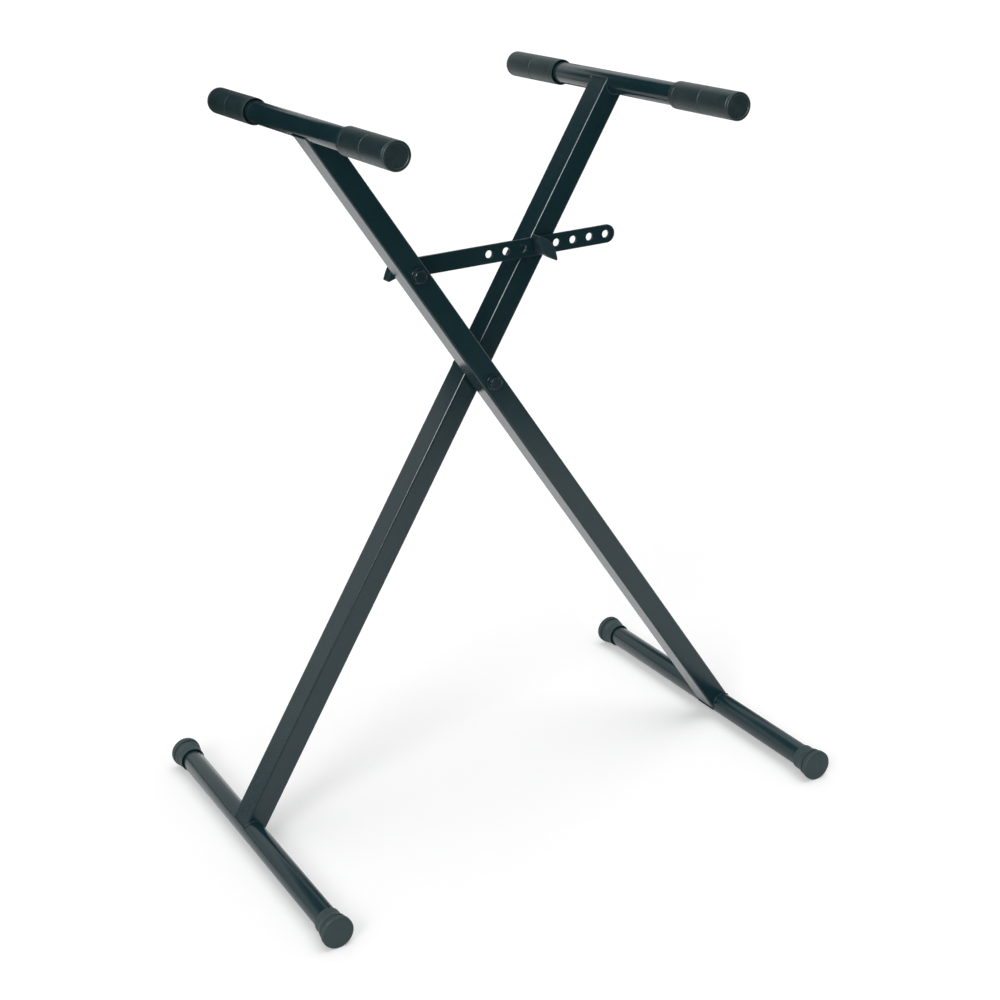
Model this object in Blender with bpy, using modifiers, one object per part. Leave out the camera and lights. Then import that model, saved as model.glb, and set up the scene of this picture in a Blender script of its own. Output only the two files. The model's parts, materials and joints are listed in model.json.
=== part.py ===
"""X-style keyboard stand: two tubular steel legs crossed on a pivot bolt, with round bars
across their ends, rubber caps and grips, and a drilled strap that sets the height.

Metres, +Z up. +X runs along the spread of the legs and +Y from the front leg to the rear
one. The origin is on the floor, under the pivot bolt. The strap lies in the plane Y = 0.
"""

from math import asin, cos, pi, radians, sin, sqrt, tau

import bmesh
import bpy

# Clearances
TOUCH = 0.0003            # between faces that touch on the real stand
BOLT_ROOM = 0.0003        # round a shank in its hole, on the radius

# Legs, each measured along its own tube
LEG_LENGTH = 0.903        # between the axes of its two bars
PIVOT_FROM_FOOT = 0.556   # from the foot bar's axis to the pivot bolt
TUBE_WIDTH = 0.025        # in the plane that the leg swings in
TUBE_DEPTH = 0.032        # front to back
TUBE_WALL = 0.0015
TUBE_CORNER = 0.002

# Bars
FOOT_BAR_DIAMETER = 0.025
FOOT_BAR_LENGTH = 0.422
TOP_BAR_DIAMETER = 0.0235
TOP_BAR_LENGTH = 0.421
BAR_WALL = 0.0015
WELD_RADIUS = 0.0012

# Rubber caps on the foot bars
CAP_WALL = 0.0015         # of the sleeve round the bar
CAP_LENGTH = 0.026
CAP_END_WALL = 0.0037
CAP_DISC_RISE = 0.0030    # of the end disc above the sleeve
CAP_DISC_THICKNESS = 0.0062
CAP_COLLAR_RISE = 0.0017
CAP_COLLAR_WIDTH = 0.0055
CAP_GROOVE_WIDTH = 0.0032
CAP_EDGE = 0.0014
CAP_MOUTH_ROOM = 0.0006   # round the bar in the sleeve's mouth, on the radius

# Rubber grips on the top bars
GRIP_WALL = 0.00235
GRIP_LENGTH = 0.100
GRIP_END_WALL = 0.0027
GRIP_EDGE = 0.0012
GRIP_RIM_WIDTH = 0.0022
GRIP_FACE_RECESS = 0.0006
GRIP_END_GROOVE = 0.0036  # from the outer face to the groove behind the rim
GRIP_MOUTH_ROOM = 0.0010
GROOVE_DEPTH = 0.0005
GROOVE_WIDTH = 0.0012
MOUTH_DEPTH = 0.0040
MOUTH_CHAMFER = 0.0003

# Height strap
STRAP_WIDTH = 0.0203
STRAP_THICKNESS = 0.003
HOLE_COUNT = 8
HOLE_IN_USE = 4
FIRST_HOLE = 0.103        # from the strap bolt to the first hole
HOLE_PITCH = 0.021
STRAP_END = 0.0116        # from the last hole to the strap's tip
STRAP_ARM = 0.154         # from the pivot bolt to the strap bolt, and to the wing screw

# Fasteners. A rim is how far a ring reaches past the hole in it.
BOLT_DIAMETER = 0.008
HEX_RIM = 0.0025          # from the shank to a flat of the hexagon
HEAD_HEIGHT = 0.0053
WASHER_RIM = 0.00395
WASHER_THICKNESS = 0.0016
THIN_WASHER = 0.0012      # between the front leg and the strap
SPACER_RIM = 0.0057
NUT_HEIGHT = 0.0065
NUT_COLLAR_HEIGHT = 0.0015
NUT_COLLAR_RIM = 0.0016
THREAD_PROUD = 0.0018     # of a bolt past its nut
INSERT_WALL = 0.0012      # of the threaded inserts in the rear leg and the wing nut
INSERT_LENGTH = 0.012
INSERT_FLANGE = 0.0008
INSERT_FLANGE_RIM = 0.0015
STUD_ROOM = 0.0003        # from the stud's cut end to the insert in the rear leg
STUD_ROOT_LENGTH = 0.008

# Wing knobs
HUB_WALL = 0.0031         # round the metal in the hub, at its base
HUB_TAPER = 0.0014
HUB_HEIGHT = 0.012
HUB_EDGE = 0.0008
WING_WALL = 0.0011        # round the metal, at the wings' widest
WING_REACH = 0.0185
WING_TIP_WIDTH = 0.0014
WING_BOTTOM = 0.0030
WING_TOP = 0.0150
SCREW_TURN = radians(53)  # how far each knob is turned in the picture
NUT_TURN = radians(137)

# Facets
BAR_SIDES = 28
SMALL_SIDES = 20
ARC_STEPS = 6

# Worked out from the sizes above
STRAP_SPAN = FIRST_HOLE + (HOLE_IN_USE - 1) * HOLE_PITCH
HALF_ANGLE = asin(STRAP_SPAN / 2 / STRAP_ARM)
LEG_INNER = STRAP_THICKNESS / 2 + THIN_WASHER + 2 * TOUCH
LEG_OUTER = LEG_INNER + TUBE_DEPTH
LEG_MIDDLE = (LEG_INNER + LEG_OUTER) / 2
CAP_SLEEVE = FOOT_BAR_DIAMETER / 2 + TOUCH + CAP_WALL
CAP_DISC = CAP_SLEEVE + CAP_DISC_RISE
GRIP = TOP_BAR_DIAMETER / 2 + TOUCH + GRIP_WALL
FOOT_AXIS_HEIGHT = CAP_DISC * cos(pi / BAR_SIDES)
PIVOT_HEIGHT = FOOT_AXIS_HEIGHT + PIVOT_FROM_FOOT * cos(HALF_ANGLE)
STRAP_HEIGHT = PIVOT_HEIGHT + STRAP_ARM * cos(HALF_ANGLE)
BOLT_HOLE_RADIUS = BOLT_DIAMETER / 2 + BOLT_ROOM
INSERT_RADIUS = BOLT_HOLE_RADIUS + INSERT_WALL
HEX_RADIUS = (BOLT_DIAMETER / 2 + HEX_RIM) / cos(pi / 6)
UNDER_HEAD = LEG_OUTER + WASHER_THICKNESS + 2 * TOUCH
KNOB_BASE = STRAP_THICKNESS / 2 + WASHER_THICKNESS + 2 * TOUCH

# Finishes: colour, roughness, metallic
COAT = ((0.009, 0.023, 0.027), 0.34, 0.0)
RUBBER = ((0.018, 0.036, 0.039), 0.62, 0.0)
PLASTIC = ((0.012, 0.024, 0.028), 0.42, 0.0)
STEEL = ((0.10, 0.11, 0.115), 0.30, 1.0)
NYLON = ((0.045, 0.052, 0.054), 0.50, 0.0)


def clear_scene():
    for obj in list(bpy.data.objects):
        bpy.data.objects.remove(obj, do_unlink=True)
    for collection in list(bpy.data.collections):
        bpy.data.collections.remove(collection)


def new_collection(name):
    collection = bpy.data.collections.new(name)
    bpy.context.scene.collection.children.link(collection)
    return collection


def place(name, data, parent, location=(0, 0, 0), rotation=(0, 0, 0)):
    obj = bpy.data.objects.new(name, data)
    parts.objects.link(obj)
    obj.parent = parent
    obj.location = location
    obj.rotation_euler = rotation
    return obj


def frame(name, location, tilt=0.0, parent=None):
    """An empty on a joint's axis, tilted about Y."""
    return place(name, None, parent, location, (0, tilt, 0))


def paint(obj, finish):
    colour, roughness, metallic = finish
    material = bpy.data.materials.new(obj.name + "_finish")
    material.use_nodes = True
    shader = material.node_tree.nodes["Principled BSDF"]
    shader.inputs["Base Color"].default_value = (*colour, 1.0)
    shader.inputs["Roughness"].default_value = roughness
    shader.inputs["Metallic"].default_value = metallic
    obj.data.materials.clear()
    obj.data.materials.append(material)
    return obj


def smooth(mesh):
    mesh.shade_smooth()
    mesh.set_sharp_from_angle(angle=radians(35))


def settle(obj):
    """Swap an object for the mesh that its curve or modifiers make, with loose caps welded."""
    depsgraph = bpy.context.evaluated_depsgraph_get()
    mesh = bpy.data.meshes.new_from_object(obj.evaluated_get(depsgraph))
    shape = bmesh.new()
    shape.from_mesh(mesh)
    bmesh.ops.remove_doubles(shape, verts=shape.verts, dist=1e-6)
    shape.to_mesh(mesh)
    shape.free()
    smooth(mesh)
    name = obj.name
    solid = place(name + "_solid", mesh, obj.parent, obj.location, obj.rotation_euler)
    bpy.data.objects.remove(obj, do_unlink=True)
    solid.name = name
    return solid


def as_cutter(obj):
    parts.objects.unlink(obj)
    cutters.objects.link(obj)
    obj.hide_render = True
    obj.display_type = "WIRE"
    return obj


def combine(obj, other, operation):
    modifier = obj.modifiers.new(other.name, "BOOLEAN")
    modifier.operation = operation
    modifier.solver = "EXACT"
    modifier.object = as_cutter(other)
    return obj


def cut(obj, other):
    return combine(obj, other, "DIFFERENCE")


def join(obj, other):
    return combine(obj, other, "UNION")


def prism(name, sides, radius, bottom, top, parent, location, rotation=(0, 0, 0)):
    """A cylinder or a hexagon between two heights on local Z."""
    shape = bmesh.new()
    bmesh.ops.create_cone(shape, cap_ends=True, segments=sides, radius1=radius, radius2=radius,
                          depth=top - bottom)
    bmesh.ops.translate(shape, vec=(0, 0, (top + bottom) / 2), verts=shape.verts)
    mesh = bpy.data.meshes.new(name)
    shape.to_mesh(mesh)
    shape.free()
    smooth(mesh)
    return place(name, mesh, parent, location, rotation)


def turned(name, profile, sides, parent, location, rotation, closed=False):
    """Turn (radius, height) points about local Z. A closed profile makes a ring."""
    points = [(radius, 0, height) for radius, height in profile]
    edges = [(index, index + 1) for index in range(len(points) - 1)]
    if closed:
        edges.append((len(points) - 1, 0))
    mesh = bpy.data.meshes.new(name)
    mesh.from_pydata(points, edges, [])
    obj = place(name, mesh, parent, location, rotation)
    screw = obj.modifiers.new("turn", "SCREW")
    screw.axis = "Z"
    screw.angle = tau
    screw.steps = sides
    screw.render_steps = sides
    screw.use_merge_vertices = True
    screw.merge_threshold = 1e-5
    return settle(obj)


def ring(name, outer, inner, bottom, top, parent, location, rotation):
    profile = [(outer, top), (outer, bottom), (inner, bottom), (inner, top)]
    return turned(name, profile, SMALL_SIDES, parent, location, rotation, closed=True)


def add_loop(curve, points):
    spline = curve.splines.new("POLY")
    spline.points.add(len(points) - 1)
    for point, place_at in zip(spline.points, points):
        point.co = (*place_at, 1.0)
    spline.use_cyclic_u = True


def plate(name, loops, thickness, parent, location, rotation):
    """A flat outline in local XY with holes, half its thickness each way along Z."""
    curve = bpy.data.curves.new(name, "CURVE")
    curve.dimensions = "2D"
    curve.fill_mode = "BOTH"
    curve.extrude = thickness / 2
    for loop in loops:
        add_loop(curve, [(x, y, 0) for x, y in loop])
    return settle(place(name, curve, parent, location, rotation))


def wire_loop(name, points, radius, parent):
    """A closed round wire through the given points."""
    curve = bpy.data.curves.new(name, "CURVE")
    curve.dimensions = "3D"
    curve.bevel_depth = radius
    curve.bevel_resolution = 1
    add_loop(curve, points)
    return settle(place(name, curve, parent))


def arc(centre, radius, start, end, steps):
    """Points on a circle from one angle to another, both ends included."""
    angles = [start + (end - start) * index / steps for index in range(steps + 1)]
    return [(centre[0] + radius * cos(angle), centre[1] + radius * sin(angle)) for angle in angles]


def facing(side, turn=0.0):
    """A rotation that points local Z to the front (side -1) or the rear (side 1)."""
    return (-side * pi / 2, turn, 0)


# Legs and what is welded to them. Side is -1 for the front leg and 1 for the rear one, which
# gives both the way the leg leans and which side of the strap it stands on.

def leg_tube(prefix, side, leg):
    """A rectangular tube, coped round both bars and drilled for its bolts."""
    shape = bmesh.new()
    bmesh.ops.create_cube(shape, size=1.0)
    bmesh.ops.scale(shape, vec=(TUBE_WIDTH, TUBE_DEPTH, LEG_LENGTH), verts=shape.verts)
    ends = [face for face in shape.faces if abs(face.normal.z) > 0.5]
    bmesh.ops.delete(shape, geom=ends, context="FACES_ONLY")
    uprights = [edge for edge in shape.edges
                if abs(edge.verts[0].co.z - edge.verts[1].co.z) > LEG_LENGTH / 2]
    bmesh.ops.bevel(shape, geom=uprights, offset=TUBE_CORNER, segments=3, profile=0.5,
                    affect="EDGES")
    middle = LEG_LENGTH / 2 - PIVOT_FROM_FOOT
    bmesh.ops.translate(shape, vec=(0, 0, middle), verts=shape.verts)
    name = prefix + "_leg_tube"
    mesh = bpy.data.meshes.new(name)
    shape.to_mesh(mesh)
    shape.free()
    tube = place(name, mesh, leg, (0, side * LEG_MIDDLE, 0))
    wall = tube.modifiers.new("wall", "SOLIDIFY")
    wall.thickness = TUBE_WALL
    wall.offset = -1
    wall.use_even_offset = True
    tube = settle(tube)
    for end, diameter, height in ((prefix + "_foot_cope", FOOT_BAR_DIAMETER, -PIVOT_FROM_FOOT),
                                  (prefix + "_top_cope", TOP_BAR_DIAMETER,
                                   LEG_LENGTH - PIVOT_FROM_FOOT)):
        radius = diameter / 2 + TOUCH
        cut(tube, prism(end, BAR_SIDES, radius, -TUBE_DEPTH, TUBE_DEPTH, leg,
                        (0, side * LEG_MIDDLE, height), facing(1)))
    cut(tube, prism(prefix + "_pivot_hole", SMALL_SIDES, BOLT_HOLE_RADIUS, -TUBE_DEPTH,
                    TUBE_DEPTH, leg, (0, side * LEG_MIDDLE, 0), facing(1)))
    if side < 0:
        cut(tube, prism("strap_bolt_hole", SMALL_SIDES, BOLT_HOLE_RADIUS, -TUBE_DEPTH,
                        TUBE_DEPTH, leg, (0, side * LEG_MIDDLE, STRAP_ARM), facing(1)))
    else:
        cut(tube, prism("insert_hole", SMALL_SIDES, INSERT_RADIUS + TOUCH, -TUBE_DEPTH / 2,
                        TUBE_DEPTH / 2, leg, (0, LEG_INNER, STRAP_ARM), facing(1)))
    return paint(tube, COAT)


def bar(name, diameter, length, leg, height):
    """A round tube across the end of a leg, open at both ends."""
    outer = diameter / 2
    inner = outer - BAR_WALL
    half = length / 2
    profile = [(outer, half), (outer, -half), (inner, -half), (inner, half)]
    tube = turned(name, profile, BAR_SIDES, leg, (0, 0, height), facing(1), closed=True)
    return paint(tube, COAT)


def weld(name, side, leg, diameter, height, upward):
    """One bead all round the cope, in the corner between the tube's end and the bar."""
    cope = diameter / 2 + TOUCH
    reach = cope + WELD_RADIUS
    half_width = TUBE_WIDTH / 2
    wall_end = sqrt(max(cope ** 2 - half_width ** 2, 0.0))
    start = asin((wall_end - TOUCH - WELD_RADIUS) / reach)
    outline = arc((0, 0), reach, start, pi - start, 2 * ARC_STEPS)
    face = TUBE_DEPTH / 2 + TOUCH + WELD_RADIUS
    middle = side * LEG_MIDDLE
    front = [(x, middle - face, height + upward * z) for x, z in outline]
    rear = [(x, middle + face, height + upward * z) for x, z in reversed(outline)]
    return paint(wire_loop(name, front + rear, WELD_RADIUS, leg), COAT)


def mouth(snug, room, outer, length, end_wall):
    """The sleeve's inner end and its bore, from the mouth in to the closed end."""
    wide = snug + room
    return [(outer, -length + MOUTH_CHAMFER), (outer - MOUTH_CHAMFER, -length), (wide, -length),
            (wide, -length + MOUTH_DEPTH), (snug, -length + MOUTH_DEPTH), (snug, -end_wall),
            (0, -end_wall)]


def foot_cap(name, side_way, leg, level):
    """A plug over the end of a foot bar: end disc, groove, collar and sleeve."""
    collar = CAP_SLEEVE + CAP_COLLAR_RISE
    collar_start = CAP_DISC_THICKNESS + CAP_GROOVE_WIDTH
    collar_end = collar_start + CAP_COLLAR_WIDTH
    rim = CAP_DISC - CAP_EDGE
    profile = [(0, 0)]
    profile += arc((rim, -CAP_EDGE), CAP_EDGE, pi / 2, 0, 3)
    profile += arc((rim, CAP_EDGE - CAP_DISC_THICKNESS), CAP_EDGE, 0, -pi / 2, 2)
    profile += [(CAP_SLEEVE, -CAP_DISC_THICKNESS - CAP_GROOVE_WIDTH / 3),
                (CAP_SLEEVE, -collar_start + CAP_GROOVE_WIDTH / 4),
                (collar, -collar_start - CAP_EDGE / 3), (collar, -collar_end + CAP_EDGE),
                (CAP_SLEEVE, -collar_end - CAP_EDGE)]
    snug = CAP_SLEEVE - CAP_WALL
    profile += mouth(snug, CAP_MOUTH_ROOM, CAP_SLEEVE, CAP_LENGTH, CAP_END_WALL)
    reach = FOOT_BAR_LENGTH / 2 + TOUCH + CAP_END_WALL
    cap = turned(name, profile, BAR_SIDES, leg, (0, side_way * reach, -PIVOT_FROM_FOOT),
                 facing(side_way, level))
    return paint(cap, RUBBER)


def groove(radius, centre):
    """Three points of a shallow V groove, going down the side."""
    return [(radius, -centre + GROOVE_WIDTH / 2), (radius - GROOVE_DEPTH, -centre),
            (radius, -centre - GROOVE_WIDTH / 2)]


def top_grip(name, side_way, leg, level):
    """A sleeve over the end of a top bar, closed at its outer end behind a raised rim."""
    rim = GRIP - GRIP_RIM_WIDTH
    profile = [(0, -GRIP_FACE_RECESS), (rim - GRIP_FACE_RECESS, -GRIP_FACE_RECESS), (rim, 0)]
    profile += arc((GRIP - GRIP_EDGE, -GRIP_EDGE), GRIP_EDGE, pi / 2, 0, 3)
    profile += groove(GRIP, GRIP_END_GROOVE)
    profile += groove(GRIP, GRIP_LENGTH / 2)
    profile += mouth(GRIP - GRIP_WALL, GRIP_MOUTH_ROOM, GRIP, GRIP_LENGTH, GRIP_END_WALL)
    reach = TOP_BAR_LENGTH / 2 + TOUCH + GRIP_END_WALL
    grip = turned(name, profile, BAR_SIDES, leg,
                  (0, side_way * reach, LEG_LENGTH - PIVOT_FROM_FOOT), facing(side_way, level))
    return paint(grip, RUBBER)


def leg_assembly(prefix, side, leg):
    """Everything that swings with one leg. Level turns the facets of the rubber to the floor."""
    level = -side * HALF_ANGLE + pi / BAR_SIDES
    top = LEG_LENGTH - PIVOT_FROM_FOOT
    leg_tube(prefix, side, leg)
    bar(prefix + "_foot_bar", FOOT_BAR_DIAMETER, FOOT_BAR_LENGTH, leg, -PIVOT_FROM_FOOT)
    bar(prefix + "_top_bar", TOP_BAR_DIAMETER, TOP_BAR_LENGTH, leg, top)
    weld(prefix + "_foot_weld", side, leg, FOOT_BAR_DIAMETER, -PIVOT_FROM_FOOT, 1)
    weld(prefix + "_top_weld", side, leg, TOP_BAR_DIAMETER, top, -1)
    for end, side_way in (("near", -1), ("far", 1)):
        foot_cap(f"{prefix}_foot_cap_{end}", side_way, leg, level)
        top_grip(f"{prefix}_top_grip_{end}", side_way, leg, level)


# Fasteners

def hex_bolt(name, length, parent, location):
    """A hexagonal head in front of the given point and a plain shank behind it."""
    bolt = prism(name, 6, HEX_RADIUS, 0, HEAD_HEIGHT, parent, location, facing(-1))
    join(bolt, prism(name + "_shank", SMALL_SIDES, BOLT_DIAMETER / 2, -length, HEAD_HEIGHT / 2,
                     parent, location, facing(-1)))
    return paint(bolt, STEEL)


def washer(name, rim, thickness, parent, location, finish=STEEL):
    """A ring round a bolt, centred on the given point."""
    return paint(ring(name, BOLT_HOLE_RADIUS + rim, BOLT_HOLE_RADIUS, -thickness / 2,
                      thickness / 2, parent, location, facing(1)), finish)


def lock_nut(name, parent, location):
    """A hexagonal nut with a round collar, its flat face on the given point."""
    collar = BOLT_HOLE_RADIUS + NUT_COLLAR_RIM
    nut = prism(name, 6, HEX_RADIUS, 0, NUT_HEIGHT, parent, location, facing(1))
    join(nut, prism(name + "_collar", SMALL_SIDES, collar, NUT_HEIGHT / 2,
                    NUT_HEIGHT + NUT_COLLAR_HEIGHT, parent, location, facing(1)))
    cut(nut, prism(name + "_bore", SMALL_SIDES, BOLT_HOLE_RADIUS, -NUT_HEIGHT, 2 * NUT_HEIGHT,
                   parent, location, facing(1)))
    return paint(nut, STEEL)


def pivot_fasteners(pivot):
    washer_middle = LEG_OUTER + TOUCH + WASHER_THICKNESS / 2
    nut_top = UNDER_HEAD + NUT_HEIGHT + NUT_COLLAR_HEIGHT
    hex_bolt("pivot_bolt", UNDER_HEAD + nut_top + THREAD_PROUD, pivot, (0, -UNDER_HEAD, 0))
    washer("pivot_head_washer", WASHER_RIM, WASHER_THICKNESS, pivot, (0, -washer_middle, 0))
    washer("pivot_spacer", SPACER_RIM, 2 * (LEG_INNER - TOUCH), pivot, (0, 0, 0), NYLON)
    washer("pivot_tail_washer", WASHER_RIM, WASHER_THICKNESS, pivot, (0, washer_middle, 0))
    lock_nut("pivot_lock_nut", pivot, (0, UNDER_HEAD, 0))


def strap_bolt_fasteners(strap_pivot):
    washer_middle = LEG_OUTER + TOUCH + WASHER_THICKNESS / 2
    inner_middle = STRAP_THICKNESS / 2 + TOUCH + THIN_WASHER / 2
    length = UNDER_HEAD + KNOB_BASE + HUB_HEIGHT + THREAD_PROUD
    hex_bolt("strap_bolt", length, strap_pivot, (0, -UNDER_HEAD, 0))
    washer("strap_bolt_head_washer", WASHER_RIM, WASHER_THICKNESS, strap_pivot,
           (0, -washer_middle, 0))
    washer("strap_inner_washer", WASHER_RIM, THIN_WASHER, strap_pivot,
           (0, -inner_middle, 0))


def rear_threaded_insert(leg):
    """A flanged insert in the rear leg's front face, which takes the wing screw."""
    flange = INSERT_RADIUS + INSERT_FLANGE_RIM
    profile = [(flange, 0), (flange, -INSERT_FLANGE), (INSERT_RADIUS, -INSERT_FLANGE),
               (INSERT_RADIUS, -INSERT_LENGTH), (BOLT_HOLE_RADIUS, -INSERT_LENGTH),
               (BOLT_HOLE_RADIUS, 0)]
    front = LEG_INNER - TOUCH - INSERT_FLANGE
    insert = turned("rear_threaded_insert", profile, SMALL_SIDES, leg, (0, front, STRAP_ARM),
                    facing(-1), closed=True)
    return paint(insert, STEEL)


# Strap

def strap_outline():
    """A bar with round ends, centred on its length from the bolt hole to the last hole."""
    half = STRAP_WIDTH / 2
    last = FIRST_HOLE + (HOLE_COUNT - 1) * HOLE_PITCH
    inset = STRAP_END - half
    right = arc((last + inset, 0), half, -pi / 2, pi / 2, 2 * ARC_STEPS)
    left = arc((-inset, 0), half, pi / 2, 3 * pi / 2, 2 * ARC_STEPS)
    return right + left


def strap(strap_pivot):
    """The drilled height strap, with its bolt hole at the strap pivot."""
    holes = [0.0] + [FIRST_HOLE + index * HOLE_PITCH for index in range(HOLE_COUNT)]
    step = tau / SMALL_SIDES
    loops = [strap_outline()]
    for centre in holes:
        loops.append(arc((centre, 0), BOLT_HOLE_RADIUS, 0, tau - step, SMALL_SIDES - 1))
    return paint(plate("strap", loops, STRAP_THICKNESS, strap_pivot, (0, 0, 0), facing(-1)), COAT)


# Wing knobs

def wing_outline():
    """Two wings on one leaf, drawn in along a cosine from the axis to blunt tips."""
    tip = WING_TIP_WIDTH / 2
    swell = INSERT_RADIUS + TOUCH + WING_WALL - tip
    upper = []
    for index in range(-2 * ARC_STEPS, 2 * ARC_STEPS + 1):
        share = index / (2 * ARC_STEPS)
        upper.append((-share * WING_REACH, tip + swell * cos(share * pi / 2)))
    return upper + [(-x, -y) for x, y in upper]


def wing_knob(name, side, turn, parent, bore_top):
    """A moulded hub with two wings, bored from its base for the metal in it."""
    rotation = facing(side, turn)
    base = INSERT_RADIUS + TOUCH + HUB_WALL
    top = base - HUB_TAPER
    profile = [(0, HUB_HEIGHT), (top - HUB_EDGE, HUB_HEIGHT), (top, HUB_HEIGHT - HUB_EDGE),
               (base, WING_BOTTOM), (base, 0), (0, 0)]
    knob = turned(name, profile, SMALL_SIDES, parent, (0, 0, 0), rotation)
    middle = side * (WING_TOP + WING_BOTTOM) / 2
    join(knob, plate(name + "_wings", [wing_outline()], WING_TOP - WING_BOTTOM, parent,
                     (0, middle, 0), rotation))
    cut(knob, prism(name + "_bore", SMALL_SIDES, INSERT_RADIUS + TOUCH, -WING_TOP, bore_top,
                    parent, (0, 0, 0), rotation))
    return paint(knob, PLASTIC)


def wing_nut(strap_pivot):
    """The wing nut behind the strap, its moulded-in insert, and the washer it presses on."""
    washer_middle = STRAP_THICKNESS / 2 + TOUCH + WASHER_THICKNESS / 2
    washer("strap_outer_washer", WASHER_RIM, WASHER_THICKNESS, strap_pivot,
           (0, washer_middle, 0))
    axis = frame("wing_nut_axis", (0, KNOB_BASE, 0), parent=strap_pivot)
    wing_knob("wing_nut", 1, NUT_TURN, axis, WING_TOP + TOUCH)
    paint(ring("wing_nut_insert", INSERT_RADIUS, BOLT_HOLE_RADIUS, 0, HUB_HEIGHT, axis,
               (0, 0, 0), facing(1)), STEEL)


def wing_screw(strap_frame):
    """The wing screw in front of the strap, with its stud cut short of the rear leg."""
    washer_middle = STRAP_THICKNESS / 2 + TOUCH + WASHER_THICKNESS / 2
    washer("wing_screw_washer", WASHER_RIM, WASHER_THICKNESS, strap_frame,
           (STRAP_SPAN, -washer_middle, 0))
    axis = frame("wing_screw_axis", (STRAP_SPAN, -KNOB_BASE, 0), parent=strap_frame)
    wing_knob("wing_screw_head", -1, SCREW_TURN, axis, STUD_ROOT_LENGTH + TOUCH)
    tip = LEG_INNER - TOUCH - INSERT_FLANGE - STUD_ROOM + KNOB_BASE
    profile = [(0, STUD_ROOT_LENGTH), (INSERT_RADIUS, STUD_ROOT_LENGTH), (INSERT_RADIUS, 0),
               (BOLT_DIAMETER / 2, 0), (BOLT_DIAMETER / 2, -tip), (0, -tip)]
    paint(turned("wing_screw_stud", profile, SMALL_SIDES, axis, (0, 0, 0), facing(-1)), STEEL)


clear_scene()
parts = new_collection("keyboard_stand")
cutters = new_collection("cutters")

pivot_frame = frame("pivot", (0, 0, PIVOT_HEIGHT))
front_frame = frame("front_leg_frame", (0, 0, PIVOT_HEIGHT), -HALF_ANGLE)
rear_frame = frame("rear_leg_frame", (0, 0, PIVOT_HEIGHT), HALF_ANGLE)
strap_start = (-STRAP_SPAN / 2, 0, STRAP_HEIGHT)
strap_bolt_frame = frame("strap_bolt_frame", strap_start)
strap_frame = frame("strap_frame", strap_start)

leg_assembly("front", -1, front_frame)
leg_assembly("rear", 1, rear_frame)
pivot_fasteners(pivot_frame)
strap_bolt_fasteners(strap_bolt_frame)
rear_threaded_insert(rear_frame)
strap(strap_frame)
wing_nut(strap_bolt_frame)
wing_screw(strap_frame)
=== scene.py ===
import json
from math import atan2, ceil, cos, pi, radians, sin, sqrt, tan, tau

import bmesh
import bpy
from bpy.props import FloatProperty, FloatVectorProperty, PointerProperty
from mathutils import Matrix, Vector


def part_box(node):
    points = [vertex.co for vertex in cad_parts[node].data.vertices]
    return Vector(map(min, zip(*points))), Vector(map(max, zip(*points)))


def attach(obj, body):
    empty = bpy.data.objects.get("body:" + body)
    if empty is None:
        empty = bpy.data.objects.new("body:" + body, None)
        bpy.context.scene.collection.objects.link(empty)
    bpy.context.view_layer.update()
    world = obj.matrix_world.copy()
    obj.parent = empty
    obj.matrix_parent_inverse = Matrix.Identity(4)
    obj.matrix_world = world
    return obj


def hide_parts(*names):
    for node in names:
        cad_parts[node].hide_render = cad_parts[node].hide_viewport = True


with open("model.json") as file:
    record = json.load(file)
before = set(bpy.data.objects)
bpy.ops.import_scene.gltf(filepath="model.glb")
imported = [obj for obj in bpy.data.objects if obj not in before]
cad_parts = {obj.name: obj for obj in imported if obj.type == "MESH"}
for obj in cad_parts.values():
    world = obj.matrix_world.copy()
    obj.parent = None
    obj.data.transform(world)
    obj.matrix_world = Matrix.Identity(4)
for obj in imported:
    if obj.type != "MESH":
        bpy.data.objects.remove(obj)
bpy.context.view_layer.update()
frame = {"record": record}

bl_info = {
    "name": "Folding Keyboard Stand",
    "version": (1, 0, 0),
    "blender": (4, 5, 0),
    "location": "3D View > Sidebar > Stand",
    "description": "Makes the visible pieces of an X-shaped keyboard stand and a studio for it",
    "category": "Object",
}

BODY_OF = {node: body for body, nodes in frame["record"]["behaviour"]["bodies"].items()
           for node in nodes}
# The side that each end of a bar points to along Y
ENDS = {"near": -1, "far": 1}
# Sides of a turned piece, and the radius of the small face where it is closed at its axis
SIDES = 96
AXIS = 0.0004
# Edges that turn more than this stay sharp
SHARP = radians(32)
NEARLY_ZERO = 1e-6


def middle(node):
    """The middle of a node's box."""
    low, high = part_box(node)
    return (low + high) / 2


def length_of(node):
    """How long a node is from front to rear."""
    low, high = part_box(node)
    return high.y - low.y


def half_height(node):
    """Half a node's height, which is its radius where it is turned about Y."""
    low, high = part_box(node)
    return (high.z - low.z) / 2


# Settings

def length(name, description, default):
    """A size in metres, up to 1 m."""
    return FloatProperty(name=name, description=description, default=default, min=0.0,
                         max=1.0, unit="LENGTH", subtype="DISTANCE", precision=5)


def rotation(name, description, default):
    """An angle in radians."""
    return FloatProperty(name=name, description=description, default=default,
                         unit="ROTATION", subtype="ANGLE")


def share(name, description, default):
    """A value from 0 to 1."""
    return FloatProperty(name=name, description=description, default=default, min=0.0,
                         max=1.0, subtype="FACTOR")


def power(name, description, default):
    """The strength of a light."""
    return FloatProperty(name=name, description=description, default=default, min=0.0)


def colour(name, description, default):
    """A linear colour."""
    return FloatVectorProperty(name=name, description=description, default=default, size=3,
                               min=0.0, max=1.0, subtype="COLOR")


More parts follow.
